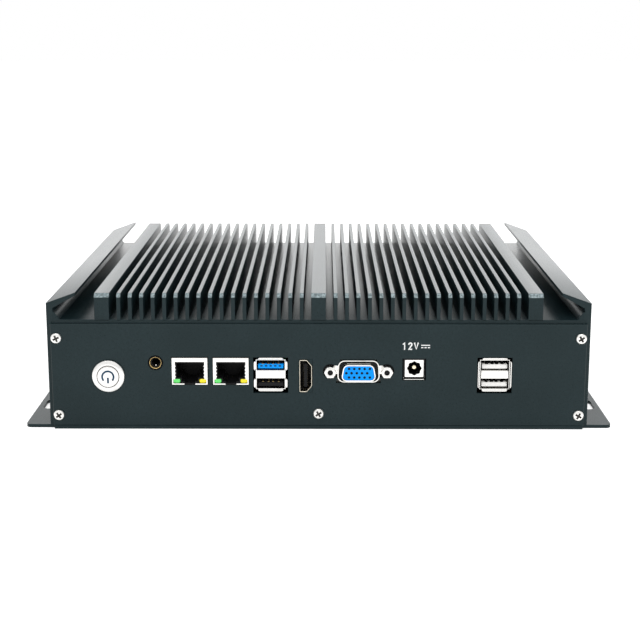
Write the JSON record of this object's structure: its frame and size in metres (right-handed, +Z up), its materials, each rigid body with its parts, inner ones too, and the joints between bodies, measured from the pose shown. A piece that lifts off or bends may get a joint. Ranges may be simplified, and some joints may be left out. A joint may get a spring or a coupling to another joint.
{
  "type": "fanless industrial pc",
  "caption": "Fanless industrial PC with a finned aluminium case, slotted mounting ears, a front port panel and a metal power button.",
  "frame": {"origin": "middle of the case's flat underside", "axes": "+Z up from the mounting surface, +X to the right along the port panel, -Y out of the port panel"},
  "size_m": [0.262, 0.2146, 0.0616],
  "materials": {
    "aluminium_dark": "satin dark slate coating",
    "sheet_dark": "satin dark slate coating",
    "screw_nickel": "nickel plated",
    "switch_steel": "polished stainless steel",
    "switch_symbol": "dark blue grey translucent inlay",
    "seal_rubber": "black",
    "connector_steel": "tin plated",
    "plastic_black": "black",
    "plastic_blue": "bright blue",
    "plastic_white": "white",
    "lamp_green": "translucent green",
    "lamp_yellow": "translucent yellow",
    "contact_gold": "gold plated",
    "board_green": "glass epoxy board",
    "pillar_brass": "nickel plated brass",
    "chip_black": "black",
    "pad_grey": "soft grey thermal pad",
    "block_aluminium": "bare milled"
  },
  "bodies": {
    "case": {"heatsink_body": "aluminium_dark", "front_panel": "aluminium_dark", "rear_panel": "aluminium_dark", "bottom_cover": "sheet_dark", "front_panel_screws": "screw_nickel", "rear_panel_screws": "screw_nickel", "bottom_cover_screws": "screw_nickel", "mainboard": "board_green", "board_standoffs": "pillar_brass", "board_screws": "screw_nickel", "cpu_package": "chip_black", "thermal_pad": "pad_grey", "heat_block": "block_aluminium", "memory_socket": "plastic_black", "memory_module": "board_green", "power_button_housing": "switch_steel", "power_button_gasket": "seal_rubber", "power_button_nut": "switch_steel", "power_button_switch": "plastic_black", "power_button_terminals": "contact_gold", "audio_jack_body": "plastic_black", "audio_jack_ring": "contact_gold", "lan_jack_a_shield": "connector_steel", "lan_jack_a_housing": "plastic_black", "lan_jack_a_contacts": "contact_gold", "lan_jack_b_shield": "connector_steel", "lan_jack_b_housing": "plastic_black", "lan_jack_b_contacts": "contact_gold", "lan_lamps_green": "lamp_green", "lan_lamps_yellow": "lamp_yellow", "data_stack_a_shell": "connector_steel", "data_stack_a_blue_tongue": "plastic_blue", "data_stack_a_black_tongue": "plastic_black", "data_stack_a_contacts": "contact_gold", "data_stack_b_shell": "connector_steel", "data_stack_b_tongues": "plastic_white", "data_stack_b_contacts": "contact_gold", "video_shell": "connector_steel", "video_body": "plastic_black", "video_contacts": "contact_gold", "dsub_shell": "connector_steel", "dsub_insert": "plastic_blue", "dsub_rear_body": "plastic_black", "dsub_jackscrews": "screw_nickel", "dc_jack_housing": "connector_steel", "dc_jack_pin": "connector_steel", "dc_jack_shield": "connector_steel"},
    "power_button": {"power_button_cap": "switch_steel", "power_button_symbol": "switch_symbol"}
  },
  "joints": [
    {"name": "power_button_press", "type": "slide", "parent": "case", "child": "power_button", "axis": [0, 1, 0], "range_m": [0, 0.002], "stiffness_N_per_m": 600, "springref_m": -0.002}
  ]
}
